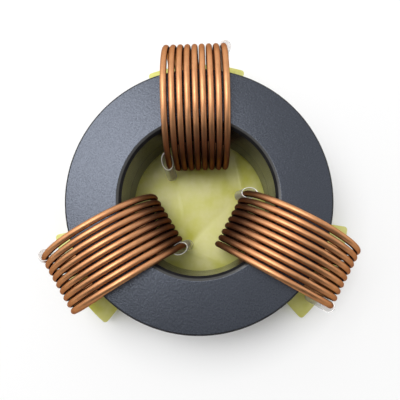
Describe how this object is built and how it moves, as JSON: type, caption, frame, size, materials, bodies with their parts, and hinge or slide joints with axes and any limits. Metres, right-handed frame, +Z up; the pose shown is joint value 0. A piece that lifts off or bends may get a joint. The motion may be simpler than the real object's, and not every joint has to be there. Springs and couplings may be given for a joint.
{
  "type": "three-phase toroidal inductor",
  "caption": "Ring-core choke: a black cased toroid threaded with enamelled copper windings, standing on an epoxy-glass board with sleeved leads for soldering.",
  "frame": {"origin": "centre of the board's underside, on the ring's axis", "axes": "+Z up along the ring's axis, +Y through the middle of the first winding"},
  "size_m": [0.1076, 0.0964, 0.0386],
  "materials": {
    "board": "cloth-filled epoxy laminate, semi-gloss",
    "case": "satin moulded",
    "core": "wound tape edges",
    "pad": "soft foam",
    "copper": "copper under clear brown enamel, tinned ends",
    "sleeve": "translucent tube"
  },
  "bodies": {
    "root": {"base_board": "board", "case_tray": "case", "case_lid": "case", "core": "core", "lower_pad": "pad", "upper_pad": "pad", "winding_1": "copper", "winding_2": "copper", "winding_3": "copper", "start_sleeve_1": "sleeve", "start_sleeve_2": "sleeve", "start_sleeve_3": "sleeve", "finish_sleeve_1": "sleeve", "finish_sleeve_2": "sleeve", "finish_sleeve_3": "sleeve"}
  },
  "joints": []
}
